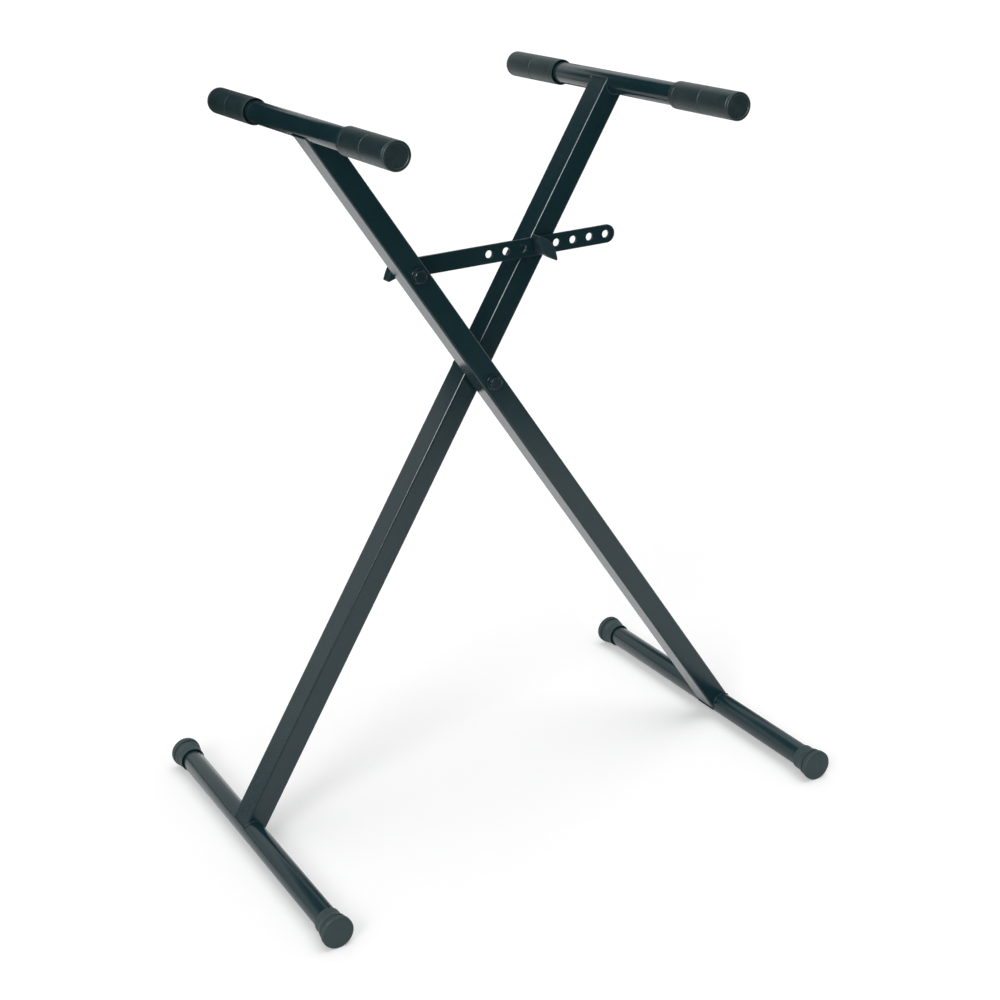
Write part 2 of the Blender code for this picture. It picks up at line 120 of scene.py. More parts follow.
class StandSizes(bpy.types.PropertyGroup):
    """Sizes of the tubes, fasteners and mouldings."""
    leg_width: length("Leg width", "Narrow side of the leg tube", 0.025)
    leg_depth: length("Leg depth", "Wide side of the leg tube", 0.032)
    leg_corner: length("Leg corner", "Outer corner radius of the leg tube", 0.002)
    tube_wall: length("Tube wall", "Wall of every steel tube", 0.0015)
    foot_bar: length("Foot bar", "Diameter of the foot bars", 0.025)
    top_bar: length("Top bar", "Diameter of the top bars", 0.0235)
    bead: length("Weld bead", "Radius of the weld beads", 0.0008)
    ripple: length("Weld ripple", "Distance between two ripples of a bead", 0.0024)
    bolt: length("Bolt", "Diameter of the bolts and the screw", 0.008)
    bolt_hole: length("Bolt hole", "Diameter of the holes for the bolts", 0.0086)
    thread_pitch: length("Thread pitch", "Distance between two threads", 0.00125)
    thread_depth: length("Thread depth", "Depth of the threads", 0.0007)
    across_flats: length("Hexagon", "Width across the flats of heads and nuts", 0.01299)
    head_height: length("Head height", "Height of the hexagonal heads", 0.0053)
    strap_ease: length("Strap edge", "Rounding of the strap's edges", 0.0004)
    strap_pitch: length("Hole pitch", "Distance between two holes of the strap", 0.021)
    first_hole: length("First hole", "From the strap's bolt hole to its first free hole", 0.103)
    insert: length("Insert", "Diameter of the metal inserts", 0.011)
    wing_reach: length("Wing reach", "From a knob's axis to the tip of its wing", 0.0185)
    wing_waist: length("Wing waist", "Width of the wings at a knob's axis", 0.0138)
    wing_tip: length("Wing tip", "Width of a wing at its tip", 0.0014)
    hub_base: length("Hub, base", "Diameter of a knob's hub at its base", 0.0178)
    hub_top: length("Hub, top", "Diameter of a knob's hub at its top", 0.0150)
    screw_turn: rotation("Wing screw", "How far the wing screw is turned", radians(53))
    nut_turn: rotation("Wing nut", "How far the wing nut is turned", radians(137))


class StandLooks(bpy.types.PropertyGroup):
    """Colours, roughness and grain of the finishes."""
    coat: colour("Coat", "Powder coat on the tubes", (0.0062, 0.0265, 0.0330))
    coat_light: colour("Coat, light", "Palest patches of the coat", (0.0150, 0.0430, 0.0480))
    coat_rough: share("Coat roughness", "Roughness of the powder coat", 0.21)
    coat_grain: length("Coat grain", "Size of the powder coat's grain", 0.0017)
    rubber: colour("Rubber", "Caps and grips", (0.0062, 0.0232, 0.0270))
    rubber_light: colour("Rubber, light", "Palest grain of the rubber", (0.0200, 0.0455, 0.0495))
    rubber_rough: share("Rubber roughness", "Roughness of the rubber", 0.42)
    # How much paler and more matt the foot caps are made than the grips, evenly all over
    cap_paling: share("Cap paling", "How far the foot caps are paler than the grips", 0.68)
    rubber_grain: length("Rubber grain", "Size of the rubber's grain", 0.0016)
    plastic: colour("Plastic", "Moulded wing knobs", (0.0056, 0.0255, 0.0315))
    plastic_rough: share("Plastic roughness", "Roughness of the wing knobs", 0.42)
    steel: colour("Steel", "Dark plated fasteners", (0.0200, 0.0420, 0.0480))
    steel_rough: share("Steel roughness", "Roughness of the fasteners", 0.24)
    nylon: colour("Nylon", "Spacer and locking ring", (0.0450, 0.0520, 0.0540))


class StandStage(bpy.types.PropertyGroup):
    """Camera, lamps and floor."""
    camera_place: FloatVectorProperty(name="Camera place", description="Where the camera stands",
                                      default=(-0.888710, -1.633059, 1.072724), size=3,
                                      unit="LENGTH", subtype="TRANSLATION")
    camera_yaw: rotation("Camera yaw", "Turn to the right of the Y axis", 0.47408)
    camera_pitch: rotation("Camera pitch", "Tilt below the horizon", 0.31814)
    camera_roll: rotation("Camera roll", "Turn about the line of sight", -0.05054)
    lens: FloatProperty(name="Lens", description="Focal length on a 36 mm sensor, in mm",
                        default=64.967)
    shift_x: FloatProperty(name="Shift, across", description="Sideways shift of the picture",
                           default=0.06361)
    shift_y: FloatProperty(name="Shift, up", description="Upward shift of the picture",
                           default=-0.10206)
    floor: colour("Floor", "Pale studio floor", (0.80, 0.80, 0.80))
    key: power("Key lamp", "Strength of the lamp at the front left", 0.9)
    top: power("Top lamp", "Strength of the lamp overhead", 1.1)
    sky: power("Sky", "Strength of the light from all round", 0.44)
    softbox: power("Softbox", "Strength of the reflected softbox", 16.0)
    glow: power("Floor glow", "White that the floor adds to the eye", 0.28)


# Materials

class Wire:
    """An output of a node. Sums written with it become Math nodes."""

    def __init__(self, recipe, socket):
        self.recipe = recipe
        self.socket = socket

    def maths(self, operation, first, second=0.0):
        """A Math node on two values, each a wire or a number."""
        return self.recipe.add("Math", {"operation": operation}, {0: first, 1: second})

    def __add__(self, other):
        return self.maths("ADD", self, other)

    def __radd__(self, other):
        return self.maths("ADD", other, self)

    def __sub__(self, other):
        return self.maths("SUBTRACT", self, other)

    def __rsub__(self, other):
        return self.maths("SUBTRACT", other, self)

    def __mul__(self, other):
        return self.maths("MULTIPLY", self, other)

    def __rmul__(self, other):
        return self.maths("MULTIPLY", other, self)

    def within(self, low, high):
        """0 below low, 1 above high and a smooth step between them."""
        settings = {"interpolation_type": "SMOOTHSTEP"}
        return self.recipe.add("MapRange", settings, {0: self, 1: low, 2: high})


class Recipe:
    """Adds nodes to the tree of a material or a world."""

    def __init__(self, owner):
        owner.use_nodes = True
        self.tree = owner.node_tree
        self.tree.nodes.clear()

    def add(self, kind, settings=None, sockets=None, output=0):
        """A node of a kind with its settings, then the values or links of its sockets."""
        node = self.tree.nodes.new("ShaderNode" + kind)
        for name, value in (settings or {}).items():
            setattr(node, name, value)
        for name, value in (sockets or {}).items():
            if isinstance(value, Wire):
                self.tree.links.new(value.socket, node.inputs[name])
            else:
                node.inputs[name].default_value = value
        return Wire(self, node.outputs[output]) if node.outputs else node

    def place(self):
        """Where a point lies on its own piece, in metres."""
        return self.add("TexCoord", output="Object")

    def mix(self, factor, first, second):
        """A colour between two others."""
        colours = [value if isinstance(value, Wire) else (*value, 1.0)
                   for value in (first, second)]
        return self.add("Mix", {"data_type": "RGBA"},
                        {0: factor, 6: colours[0], 7: colours[1]}, output=2)

    def noise(self, place, size, detail=2.0, roughness=0.5):
        """Even noise whose lumps are about that wide, from 0 to 1."""
        return self.add("TexNoise", None, {"Vector": place, "Scale": 1 / size,
                                           "Detail": detail, "Roughness": roughness})

    def bump(self, height, depth, strength):
        """Normals as if the surface rose by a height from 0 to 1, that many metres deep."""
        return self.add("Bump", None, {"Height": height, "Distance": depth,
                                       "Strength": strength})

    def surface(self, base, rough, normal, **fixed):
        """A Principled shader. What is the same all over goes straight to its sockets."""
        sockets = {"Base Color": base, "Roughness": rough, "Normal": normal}
        sockets.update({name.replace("_", " "): value for name, value in fixed.items()})
        shader = self.add("BsdfPrincipled", None, sockets)
        self.add("OutputMaterial", None, {"Surface": shader})


def paler(shade, times):
    """A colour that many times as light, up to white."""
    return tuple(min(1.0, channel * times) for channel in shade)


def powder_coat(recipe, looks):
    """Semi-gloss powder coat with orange peel, a fine grain and faint handling marks."""
    place = recipe.place()
    grain = recipe.noise(place, looks.coat_grain, detail=3.0, roughness=0.6)
    peel = recipe.noise(place, looks.coat_grain * 3.2, detail=1.0)
    clouds = recipe.noise(place, size=0.06, detail=3.0)
    marks = recipe.noise(place, size=0.009, detail=5.0, roughness=0.7)
    rubbed = marks.within(0.64, 0.78) * 0.30
    pale = grain.within(0.60, 0.72) * 0.45 + clouds.within(0.35, 0.75) * 0.20 + rubbed
    base = recipe.mix(pale, looks.coat, looks.coat_light)
    rough = looks.coat_rough + (peel - 0.5) * 0.10 + (clouds - 0.5) * 0.08 + rubbed * 0.25
    normal = recipe.bump(grain + peel * 0.5, depth=0.00010, strength=0.5)
    recipe.surface(base, rough, normal, Specular_IOR_Level=0.47)


def moulded_rubber(recipe, looks, paling=0.0):
    """Rubber with a spark-eroded grain and a dusty bloom."""
    place = recipe.place()
    grain = recipe.noise(place, looks.rubber_grain, detail=4.0, roughness=0.65)
    pores = recipe.noise(place, looks.rubber_grain * 0.45, detail=2.0)
    bloom = recipe.noise(place, size=0.012, detail=4.0, roughness=0.6)
    # paling makes the whole piece evenly paler and, below, more matt
    pale = grain.within(0.42, 0.70) * 0.45 + bloom.within(0.35, 0.75) * 0.35 + paling
    base = recipe.mix(pale, looks.rubber, looks.rubber_light)
    rough = looks.rubber_rough + paling * 0.25 + (bloom - 0.5) * 0.14 + (grain - 0.5) * 0.10
    normal = recipe.bump(grain + pores * 0.4, depth=0.00035, strength=0.9)
    recipe.surface(base, rough, normal, Specular_IOR_Level=0.42)


def paler_rubber(recipe, looks):
    """The same rubber, paler and more matt, for the foot caps."""
    moulded_rubber(recipe, looks, looks.cap_paling)


def moulded_plastic(recipe, looks):
    """Satin plastic with a fine moulded texture and faint flow marks."""
    place = recipe.place()
    grain = recipe.noise(place, size=0.0005, detail=2.0)
    flow = recipe.noise(place, size=0.006, detail=3.0, roughness=0.6)
    pale = paler(looks.plastic, 1.9)
    base = recipe.mix(grain.within(0.5, 0.75) * 0.4 + flow * 0.3, looks.plastic, pale)
    rough = looks.plastic_rough + (flow - 0.5) * 0.16 + (grain - 0.5) * 0.06
    normal = recipe.bump(grain, depth=0.00005, strength=0.5)
    recipe.surface(base, rough, normal, Specular_IOR_Level=0.32)


def plated_steel(recipe, looks):
    """Dark plating with turning marks round the axis, stains and worn spots."""
    place = recipe.place()
    flat = recipe.add("VectorMath", {"operation": "MULTIPLY"}, {0: place, 1: (1.0, 1.0, 0.0)})
    radius = recipe.add("VectorMath", {"operation": "LENGTH"}, {0: flat}, output="Value")
    lines = recipe.add("TexNoise", {"noise_dimensions": "1D"},
                       {"W": radius, "Scale": 4200.0, "Detail": 2.0})
    stains = recipe.noise(place, size=0.0035, detail=4.0, roughness=0.65)
    pale = paler(looks.steel, 2.0)
    worn = stains.within(0.55, 0.75) * 0.45 + (lines - 0.5) * 0.25 + 0.05
    base = recipe.mix(worn, looks.steel, pale)
    rough = looks.steel_rough + (stains - 0.5) * 0.24 + (lines - 0.5) * 0.12
    normal = recipe.bump(lines + stains * 0.3, depth=0.00003, strength=0.35)
    recipe.surface(base, rough, normal, Metallic=0.5)


def black_nylon(recipe, looks):
    """Waxy nylon with a cloudy surface."""
    clouds = recipe.noise(recipe.place(), size=0.002, detail=3.0)
    pale = paler(looks.nylon, 1.6)
    base = recipe.mix(clouds.within(0.35, 0.7), looks.nylon, pale)
    rough = 0.5 + (clouds - 0.5) * 0.2
    normal = recipe.bump(clouds, depth=0.00005, strength=0.4)
    recipe.surface(base, rough, normal, Specular_IOR_Level=0.4)


FINISHES = {"coat": powder_coat, "rubber": moulded_rubber, "cap": paler_rubber,
            "plastic": moulded_plastic, "steel": plated_steel, "nylon": black_nylon}


def finish(look):
    """The material of a finish, made when it is first asked for."""
    name = FINISHES[look].__name__
    material = bpy.data.materials.get(name)
    if material is None:
        material = bpy.data.materials.new(name)
        FINISHES[look](Recipe(material), bpy.context.scene.stand_looks)
    return material


# Shapes

def polar(radius, angle, height=0.0):
    """The point at a radius and an angle round Z."""
    return Vector((radius * cos(angle), radius * sin(angle), height))


def circle(radius, height, sides=SIDES):
    """Points round a circle about Z."""
    return [polar(radius, tau * i / sides, height) for i in range(sides)]


def skin(name, rings, looped=False):
    """A closed mesh over rings of as many points each. Looped joins the last to the first."""
    count = len(rings[0])
    points = [point for ring in rings for point in ring]
    faces = []
    steps = len(rings) if looped else len(rings) - 1
    for row in range(steps):
        here = row * count
        there = (row + 1) % len(rings) * count
        for i in range(count):
            j = (i + 1) % count
            faces.append((here + i, here + j, there + j, there + i))
    if not looped:
        faces.append(tuple(reversed(range(count))))
        faces.append(tuple(range(len(points) - count, len(points))))
    mesh = bpy.data.meshes.new(name)
    mesh.from_pydata(points, [], faces)
    shape = bmesh.new()
    shape.from_mesh(mesh)
    bmesh.ops.recalc_face_normals(shape, faces=shape.faces)
    shape.to_mesh(mesh)
    shape.free()
    return mesh


def rounded(points, steps=5, closed=False):
    """A flat outline of (x, y, radius) corners, each rounded to its own radius."""
    share_of_side = 0.49
    result = []
    count = len(points)
    for i, (x, y, radius) in enumerate(points):
        at = Vector((x, y))
        if radius <= 0 or (not closed and i in (0, count - 1)):
            result.append((x, y))
            continue
        before = Vector(points[i - 1][:2]) - at
        after = Vector(points[(i + 1) % count][:2]) - at
        slope = tan(before.angle(after) / 2)
        reach = min(radius / max(NEARLY_ZERO, abs(slope)),
                    before.length * share_of_side, after.length * share_of_side)
        start = at + before.normalized() * reach
        end = at + after.normalized() * reach
        for k in range(steps + 1):
            t = k / steps
            point = start * (1 - t) ** 2 + at * 2 * t * (1 - t) + end * t ** 2
            result.append((point.x, point.y))
    return result


def turned(name, profile, sides=SIDES, looped=False):
    """A (radius, height) profile turned about Z. A looped profile makes a ring."""
    return skin(name, [circle(radius, height, sides) for radius, height in profile], looped)


def even(points, gap):
    """The same closed path with points about gap apart."""
    runs = [(points[(i + 1) % len(points)] - point).length for i, point in enumerate(points)]
    total = sum(runs)
    count = ceil(total / gap)
    result = []
    index = 0
    passed = 0.0
    for k in range(count):
        target = total * k / count
        while passed + runs[index] < target:
            passed += runs[index]
            index += 1
        part = (target - passed) / runs[index]
        result.append(points[index].lerp(points[(index + 1) % len(points)], part))
    return result


def add_piece(name, mesh, matrix, slot, *nodes, flats=False, look=None):
    """Place a mesh for its CAD nodes, in the look of its slot unless another is named."""
    mesh.shade_smooth()
    mesh.set_sharp_from_angle(angle=SHARP)
    mesh.materials.append(finish(look or slot))
    piece = bpy.data.objects.new(name, mesh)
    bpy.context.scene.collection.objects.link(piece)
    piece.matrix_world = matrix
    if flats:
        normals = piece.modifiers.new("flat faces", "WEIGHTED_NORMAL")
        normals.keep_sharp = True
        normals.weight = 100
    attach(piece, BODY_OF[nodes[0]])
    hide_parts(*nodes)


def outward(point, side):
    """A matrix with its origin at a point and its Z along -Y (side -1) or +Y (side 1)."""
    return Matrix.Translation(point) @ Matrix.Rotation(-side * pi / 2, 4, "X")


def on_end(node, side, back=0.0):
    """The same on a node's front (side -1) or rear (side 1) face, moved back into the node."""
    low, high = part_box(node)
    point = (low + high) / 2
    point.y = low.y if side < 0 else high.y
    return outward(point, side) @ Matrix.Translation((0, 0, -back))


def leg_frame(prefix):
    """A matrix on a leg's foot axis, with Z up the leg and Y across the stand."""
    foot = middle(prefix + "_foot_bar")
    up = (middle(prefix + "_top_bar") - foot).normalized()
    foot.y = middle(prefix + "_leg_tube").y
    across = Vector((0, 1, 0))
    axes = Matrix((across.cross(up), across, up)).transposed()
    return Matrix.Translation(foot) @ axes.to_4x4()


def top_height(prefix):
    """How far a leg's top bar is from its foot bar, axis to axis."""
    return (leg_frame(prefix).inverted() @ middle(prefix + "_top_bar")).z


def leg_section(sizes, inset=0.0):
    """The leg tube's outline, with points along the two sides that are coped."""
    corner_steps = 6
    side_steps = 16
    sharpest = 0.0004
    x = sizes.leg_width / 2 - inset
    y = sizes.leg_depth / 2 - inset
    radius = max(sizes.leg_corner - inset, sharpest)
    points = []
    for corner, (right, up) in enumerate(((1, 1), (-1, 1), (-1, -1), (1, -1))):
        for k in range(corner_steps + 1):
            angle = pi / 2 * (corner + k / corner_steps)
            points.append((right * (x - radius) + radius * cos(angle),
                           up * (y - radius) + radius * sin(angle)))
        if corner in (0, 2):
            start, level = points[-1]
            for k in range(1, side_steps):
                points.append((start * (1 - 2 * k / side_steps), level))
    return points


def cope(x, radius):
    """How high a round bar stands over its axis, that far beside it."""
    return sqrt(max(radius * radius - x * x, 0.0))


# Welded frame

def build_leg(prefix, sizes):
    """A leg tube with rounded corners, an inner wall and ends coped to the bars."""
    name = prefix + "_coped_leg"
    sunk = 0.0002
    top = top_height(prefix)
    foot_radius = sizes.foot_bar / 2 - sunk
    top_radius = sizes.top_bar / 2 - sunk

    def low_end(outline):
        """The outline on the foot bar."""
        return [Vector((x, y, cope(x, foot_radius))) for x, y in outline]

    def high_end(outline):
        """The outline under the top bar."""
        return [Vector((x, y, top - cope(x, top_radius))) for x, y in outline]

    outer = leg_section(sizes)
    inner = leg_section(sizes, sizes.tube_wall)
    rings = [low_end(outer), high_end(outer), high_end(inner), low_end(inner)]
    add_piece(name, skin(name, rings, looped=True), leg_frame(prefix), "coat",
              prefix + "_leg_tube", flats=True)


def build_bar(prefix, level, diameter, sizes):
    """A round bar with eased, open ends."""
    node = f"{prefix}_{level}_bar"
    name = f"{prefix}_{level}_rail"
    bar_sides = 128
    ease = 0.0003
    outer = diameter / 2
    inner = outer - sizes.tube_wall
    back = -length_of(node)
    profile = rounded([(outer, 0, ease), (outer, back, ease), (inner, back, ease),
                       (inner, 0, ease)], 2, closed=True)
    add_piece(name, turned(name, profile, bar_sides, looped=True), on_end(node, -1), "coat",
              node)


def build_bead(prefix, level, diameter, sizes):
    """A rippled weld bead round the end of a leg, in the corner that it makes with a bar."""
    name = f"{prefix}_{level}_bead"
    away = 0.0004
    lowest = 0.0007
    steps_per_ripple = 8
    bead_sides = 14
    thinnest, rise, waver, waver_rate = 0.86, 0.16, 0.04, 0.37
    drag = 0.0006
    radius = diameter / 2 + away
    base = 0.0 if level == "foot" else top_height(prefix)
    up = 1 if level == "foot" else -1
    path = [Vector((x, y, base + up * max(cope(x, radius), lowest)))
            for x, y in leg_section(sizes, -away)]
    path = even(path, sizes.ripple / steps_per_ripple)
    count = len(path)
    ripples = round(count / steps_per_ripple)
    axis = Vector((0, 0, base))
    rings = []
    for i, point in enumerate(path):
        along = (path[(i + 1) % count] - path[i - 1]).normalized()
        out = Vector((point.x, 0, point.z)) - axis
        out = (out - along * out.dot(along)).normalized()
        side = along.cross(out)
        wave = (i * ripples / count) % 1
        swell = sizes.bead * (thinnest + rise * sqrt(1 - wave) + waver * sin(i * waver_rate))
        ring = []
        for k in range(bead_sides):
            angle = tau * k / bead_sides
            ring.append(point + (side * cos(angle) + out * sin(angle)) * swell
                        - along * drag * sin(angle) ** 2)
        rings.append(ring)
    add_piece(name, skin(name, rings, looped=True), leg_frame(prefix), "coat",
              f"{prefix}_{level}_weld")


# Rubber

def build_cap(prefix, end, sizes):
    """A foot plug: crowned end disc, groove, flared collar and sleeve with an open mouth."""
    node = f"{prefix}_foot_cap_{end}"
    back = -length_of(node)
    disc = half_height(node)
    face = disc - 0.0030
    sleeve = disc - 0.0030
    collar = sleeve + 0.0018
    snug = sizes.foot_bar / 2 + 0.0003
    mouth = snug + 0.0006
    disc_back = -0.0062
    groove_front = -0.0068
    groove_back = -0.0088
    collar_front = -0.0096
    collar_back = -0.0128
    flare_end = -0.0162
    inside = -0.0037
    profile = rounded([
        (AXIS, 0.0, 0), (face, 0.0, 0.0006), (face + 0.0005, -0.00025, 0.0004),
        (disc, -0.0006, 0.0020), (disc, disc_back, 0.0014),
        (sleeve, groove_front, 0.0005), (sleeve, groove_back, 0.0003),
        (collar, collar_front, 0.0002), (collar - 0.0003, collar_back, 0.0012),
        (sleeve, flare_end, 0.0020), (sleeve, back, 0.0005),
        (mouth, back, 0.0003), (mouth, back + 0.0042, 0.0002), (snug, back + 0.0046, 0.0002),
        (snug, inside, 0.0004), (AXIS, inside, 0)])
    add_piece(f"{prefix}_{end}_plug", turned(node + "_plug", profile), on_end(node, ENDS[end]),
              "rubber", node, look="cap")


def build_grip(prefix, end, sizes):
    """A top sleeve: raised rim round a recessed face, grooves and an open mouth."""
    node = f"{prefix}_top_grip_{end}"
    depth = length_of(node)
    outer = half_height(node)
    snug = sizes.top_bar / 2 + 0.0003
    mouth = snug + 0.0010
    face = -0.0007
    inside = -0.0027
    profile = [(AXIS, face, 0), (outer - 0.0031, face, 0.0003),
               (outer - 0.0026, -0.0001, 0.0003), (outer - 0.0014, 0.0, 0.0006),
               (outer, -0.0004, 0.0011), (outer, inside, 0.0003)]
    grooves = ((0.0036, 0.0014, 0.0006), (depth / 2, 0.0014, 0.0005),
               (depth - 0.0062, 0.0012, 0.0004))
    for centre, width, sunk in grooves:
        profile += [(outer, width / 2 - centre, 0.0002), (outer - sunk, -centre, 0.0003),
                    (outer, -width / 2 - centre, 0.0002)]
    profile += [(outer, -depth, 0.0007), (mouth, -depth, 0.0003),
                (mouth, 0.0038 - depth, 0.0002), (snug, 0.0042 - depth, 0.0002),
                (snug, inside, 0.0004), (AXIS, inside, 0)]
    mesh = turned(node + "_sleeve", rounded(profile, 4))
    add_piece(f"{prefix}_{end}_sleeve", mesh, on_end(node, ENDS[end]), "rubber", node)


# Strap

def build_strap(sizes):
    """The drilled height strap with round ends and eased edges."""
    name = "drilled_strap"
    end_steps = 32
    hole_sides = 48
    ease_steps = 3
    low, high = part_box("strap")
    bolt = middle("strap_bolt")
    bolt.y = (low.y + high.y) / 2
    half = (high.z - low.z) / 2
    thick = (high.y - low.y) / 2
    left = low.x - bolt.x + half
    right = high.x - bolt.x - half
    last = right + half - sizes.bolt_hole / 2
    centres = [0.0]
    hole = sizes.first_hole
    while hole <= last:
        centres.append(hole)
        hole += sizes.strap_pitch

    def outlines(inset):
        """The outer outline and the holes, each moved into the metal by an inset."""
        edge = []
        for centre, first in ((right, -pi / 2), (left, pi / 2)):
            for k in range(end_steps + 1):
                point = polar(half - inset, first + pi * k / end_steps)
                edge.append((centre + point.x, point.y))
        loops = [edge]
        for centre in centres:
            rim = circle(sizes.bolt_hole / 2 + inset, 0.0, hole_sides)
            loops.append([(centre + point.x, point.y) for point in rim])
        return loops

    levels = []
    for k in range(ease_steps + 1):
        angle = pi / 2 * k / ease_steps
        levels.append((sizes.strap_ease * (1 - sin(angle)),
                       thick - sizes.strap_ease * (1 - cos(angle))))
    levels += [(inset, -height) for inset, height in reversed(levels)]
    shape = bmesh.new()
    layers = []
    for inset, height in levels:
        layers.append([[shape.verts.new((x, y, height)) for x, y in loop]
                       for loop in outlines(inset)])
    for upper, lower in zip(layers, layers[1:]):
        for above, below in zip(upper, lower):
            for i in range(len(above)):
                j = (i + 1) % len(above)
                shape.faces.new((above[i], above[j], below[j], below[i]))
    for layer in (layers[0], layers[-1]):
        edges = [shape.edges.get((loop[i - 1], loop[i]))
                 for loop in layer for i in range(len(loop))]
        bmesh.ops.triangle_fill(shape, use_beauty=True, edges=edges)
    bmesh.ops.recalc_face_normals(shape, faces=shape.faces)
    mesh = bpy.data.meshes.new(name)
    shape.to_mesh(mesh)
    shape.free()
    add_piece(name, mesh, outward(bolt, -1), "coat", "strap", flats=True)


# Fasteners

def hexagon_radius(angle, across_flats):
    """Distance from the axis to a hexagon's side, its corners slightly eased."""
    eased_corner = 1.145
    half = across_flats / 2
    off = (angle % (pi / 3)) - pi / 6
    return min(half / cos(off), half * eased_corner)


def hexagon_rings(across_flats, bottom, top, tilt=radians(28)):
    """Rings up the side of a hexagon and over its chamfer to a round top face."""
    face = across_flats / 2 * 0.955
    angles = [tau * i / SIDES for i in range(SIDES)]
    radii = [hexagon_radius(angle, across_flats) for angle in angles]
    foot = [polar(radius, angle, bottom) for radius, angle in zip(radii, angles)]
    chamfer = [polar(radius, angle, top - max(radius - face, 0.0) * tan(tilt))
               for radius, angle in zip(radii, angles)]
    return [foot, chamfer, circle(face, top)]


def thread_rings(sizes, bottom, top):
    """Rings up a thread that tapers off at its lower end."""
    rings_per_thread = 10
    runout = 0.9
    crest = sizes.bolt / 2
    root = crest - sizes.thread_depth
    count = ceil((top - bottom) / sizes.thread_pitch * rings_per_thread)
    rings = []
    for k in range(count + 1):
        height = bottom + (top - bottom) * k / count
        ring = []
        for i in range(SIDES):
            lead = (height / sizes.thread_pitch + i / SIDES) % 1
            radius = min(crest - sizes.thread_depth * abs(2 * lead - 1),
                         root + (height - bottom) * runout)
            ring.append(polar(radius, tau * i / SIDES, height))
        rings.append(ring)
    return rings


def build_bolt(node, sizes):
    """A hexagonal head with its bearing face, a plain shank and a threaded end."""
    name = node + "_hexagon"
    thread = 0.022
    thread_end = 0.0006
    bearing_height = 0.0003
    bearing = sizes.across_flats / 2 * 0.95
    shank = sizes.bolt / 2
    head = sizes.head_height
    end = head - length_of(node)
    rings = thread_rings(sizes, end, end + thread)
    rings += [circle(shank, end + thread + thread_end), circle(shank, 0.0),
              circle(bearing, 0.0), circle(bearing, bearing_height)]
    rings += hexagon_rings(sizes.across_flats, bearing_height + 0.0001, head, tilt=radians(38))
    add_piece(name, skin(name, rings), on_end(node, -1, head), "steel", node)


def build_lock_nut(sizes):
    """A hexagonal nut with a rolled collar, and the nylon ring that the collar holds."""
    node = "pivot_lock_nut"
    depth = length_of(node)
    nut = depth - 0.0015
    bore = sizes.bolt_hole / 2
    seat = bore + 0.0007
    seat_depth = depth - 0.0012
    collar = bore + 0.0016
    bearing = sizes.across_flats / 2 * 0.94
    rings = [circle(bore, 0.0003), circle(bore + 0.0004, 0.0), circle(bearing, 0.0)]
    rings += hexagon_rings(sizes.across_flats, 0.0004, nut)
    rolled = rounded([(collar, nut, 0), (collar, depth, 0.0007), (seat, depth, 0.0002),
                      (seat, seat_depth, 0)], 4)
    rings += [circle(radius, height) for radius, height in rolled]
    rings.append(circle(bore, seat_depth))
    place = on_end(node, 1, depth)
    add_piece("pivot_nut_hexagon", skin(node, rings, looped=True), place, "steel", node)
    inner = bore - 0.0001
    outer = seat - 0.0001
    low = seat_depth + 0.0001
    high = depth - 0.0004
    ring = rounded([(outer, high, 0.0002), (outer, low, 0), (inner, low, 0),
                    (inner, high, 0.0002)], 3, closed=True)
    add_piece("pivot_nut_locking_ring", turned("locking_ring", ring, looped=True), place,
              "nylon", node)


def build_washer(node, slot, sizes):
    """A flat ring with eased edges, rounder on the outer edge of its front."""
    name = node + "_ring"
    back = -length_of(node)
    outer = half_height(node)
    bore = sizes.bolt_hole / 2
    ease = min(0.0003, -back / 4)
    profile = rounded([(outer, 0, ease * 1.6), (outer, back, ease), (bore, back, ease),
                       (bore, 0, ease)], 3, closed=True)
    add_piece(name, turned(name, profile, looped=True), on_end(node, -1), slot, node)


def build_insert(sizes):
    """The flanged insert in the rear leg that takes the wing screw."""
    name = "leg_insert"
    node = "rear_threaded_insert"
    back = -length_of(node)
    flange = half_height(node)
    flange_back = -0.0008
    body = sizes.insert / 2
    bore = sizes.bolt / 2 - sizes.thread_depth / 2
    profile = rounded([(flange, 0, 0.0002), (flange, flange_back, 0.0002),
                       (body, flange_back, 0.0001), (body, back, 0.0004), (bore, back, 0.0003),
                       (bore, -0.0004, 0.0002), (bore + 0.0004, 0, 0.0001)], 2, closed=True)
    add_piece(name, turned(name, profile, looped=True), on_end(node, -1), "steel", node)


def build_nut_tube(sizes):
    """The metal tube moulded into the wing nut."""
    name = "wing_nut_tube"
    node = "wing_nut_insert"
    ease = 0.0003
    back = -length_of(node)
    body = sizes.insert / 2
    bore = sizes.bolt_hole / 2
    profile = rounded([(body, 0, ease), (body, back, ease), (bore, back, ease),
                       (bore, 0, 0.0005)], 2, closed=True)
    add_piece(name, turned(name, profile, looped=True), on_end(node, 1), "steel", node)


def build_stud(sizes):
    """The threaded stud moulded into the wing screw, with its wider root."""
    name = "wing_screw_thread"
    node = "wing_screw_stud"
    low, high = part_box(node)
    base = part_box("wing_screw_head")[1].y
    root = base - low.y
    tip = high.y - base
    thread_end = -0.0012
    shank_start = -0.0006
    shank = sizes.bolt / 2
    body = sizes.insert / 2
    rings = thread_rings(sizes, -tip, thread_end)
    rings += [circle(shank, shank_start), circle(shank, 0.0), circle(body, 0.0),
              circle(body, root)]
    add_piece(name, skin(name, rings), on_end(node, -1, root), "steel", node)


# Wing knobs

def smaller(first, second, soft):
    """The smaller of two numbers, blended where they are less than soft apart."""
    blend = max(soft - abs(first - second), 0.0) / soft
    return min(first, second) - blend * blend * soft / 4


